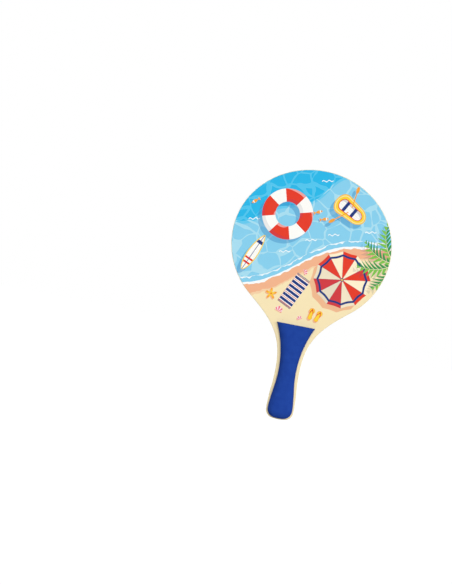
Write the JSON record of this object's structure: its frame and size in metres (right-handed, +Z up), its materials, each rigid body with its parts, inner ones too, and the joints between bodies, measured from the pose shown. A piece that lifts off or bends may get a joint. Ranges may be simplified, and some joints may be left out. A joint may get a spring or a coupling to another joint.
{
  "type": "frescobol racket",
  "caption": "Wooden beach racket: a round laminated blade printed on one face, tapering to a short waisted handle with a foam grip pad on each side.",
  "frame": {"origin": "inside the blade at half its thickness, on the middle line of the handle, at the waist of the grip where the hand closes", "axes": "+Z up the racket from the handle to the head, +X across the racket to the right as the printed face is seen, +Y out of the bare rear face; the printed face looks towards -Y"},
  "size_m": [0.242, 0.0248, 0.38],
  "materials": {
    "face_veneer": "matte",
    "inner_ply": "matte",
    "print": "satin",
    "adhesive": "satin",
    "grip_foam": "matte"
  },
  "bodies": {
    "root": {"core_ply": "inner_ply", "front_crossband": "inner_ply", "rear_crossband": "inner_ply", "front_face_veneer": "face_veneer", "rear_face_veneer": "face_veneer", "printed_film": "print", "front_grip_adhesive": "adhesive", "rear_grip_adhesive": "adhesive", "front_grip_pad": "grip_foam", "rear_grip_pad": "grip_foam"}
  },
  "joints": []
}
